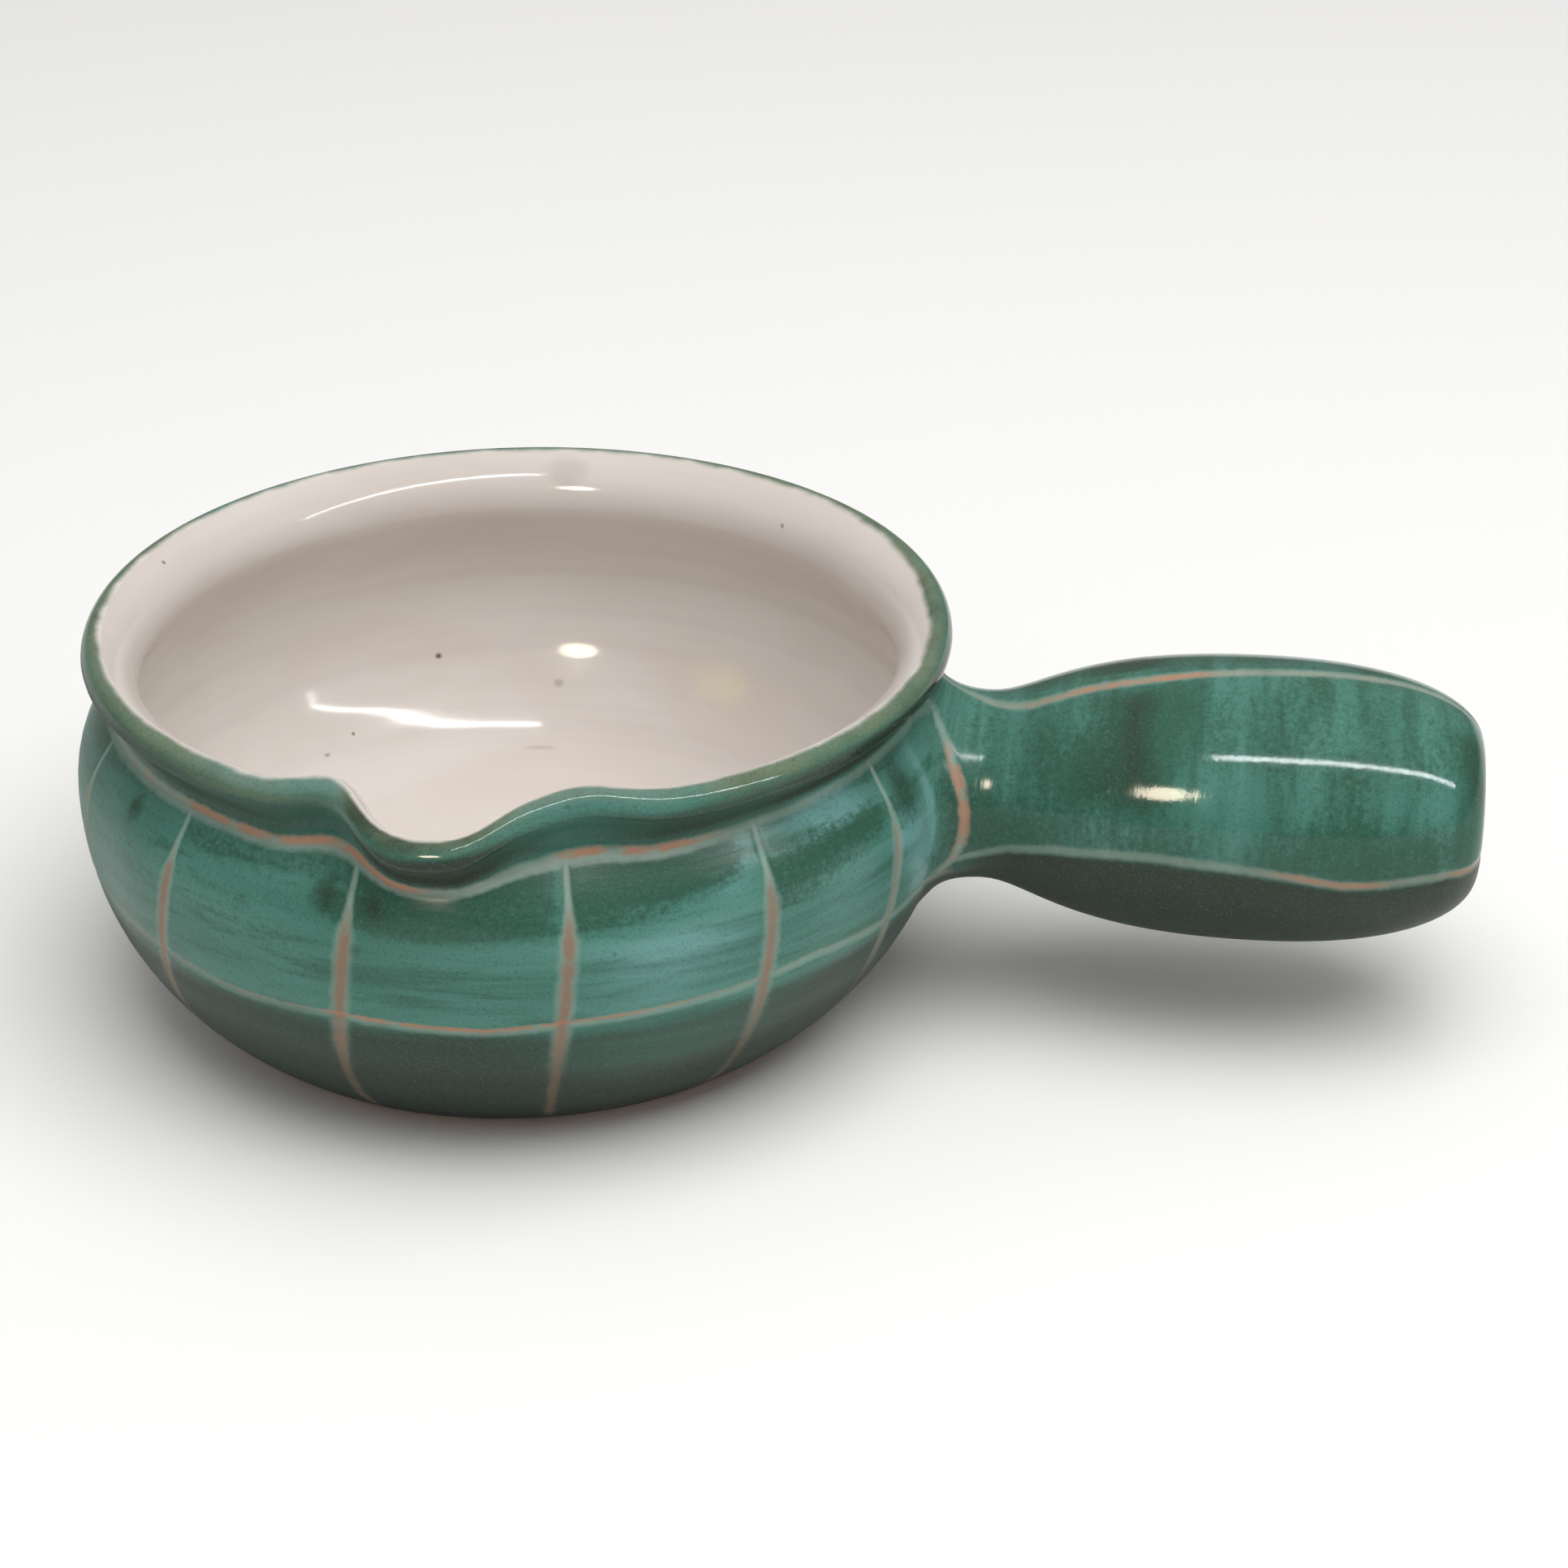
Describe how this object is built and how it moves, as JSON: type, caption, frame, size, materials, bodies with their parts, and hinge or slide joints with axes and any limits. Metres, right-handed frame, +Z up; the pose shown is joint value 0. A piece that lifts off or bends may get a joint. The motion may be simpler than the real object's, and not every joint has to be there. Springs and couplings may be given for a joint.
{
  "type": "casserole dish",
  "caption": "Thrown earthenware casserole dish with a pinched pouring lip and a hollow handle, white glaze inside, scratched green glaze outside.",
  "frame": {"origin": "centre of the flat foot's resting face", "axes": "+X along the handle away from the bowl, +Z up, the lip pours to -Y"},
  "size_m": [0.244, 0.1575, 0.0712],
  "materials": {
    "clay": "fired red earthenware, unglazed and matt",
    "slip": "fired clay slip, matt",
    "white_glaze": "glossy pinkish white glaze with faint throwing rings",
    "green_glaze": "glossy blue-green brushed glaze, streaked olive and brown"
  },
  "bodies": {
    "root": {"bowl": "clay", "inner_glaze": "white_glaze", "bowl_glaze": "green_glaze", "handle": "clay", "handle_joint": "slip", "handle_glaze": "green_glaze"}
  },
  "joints": []
}
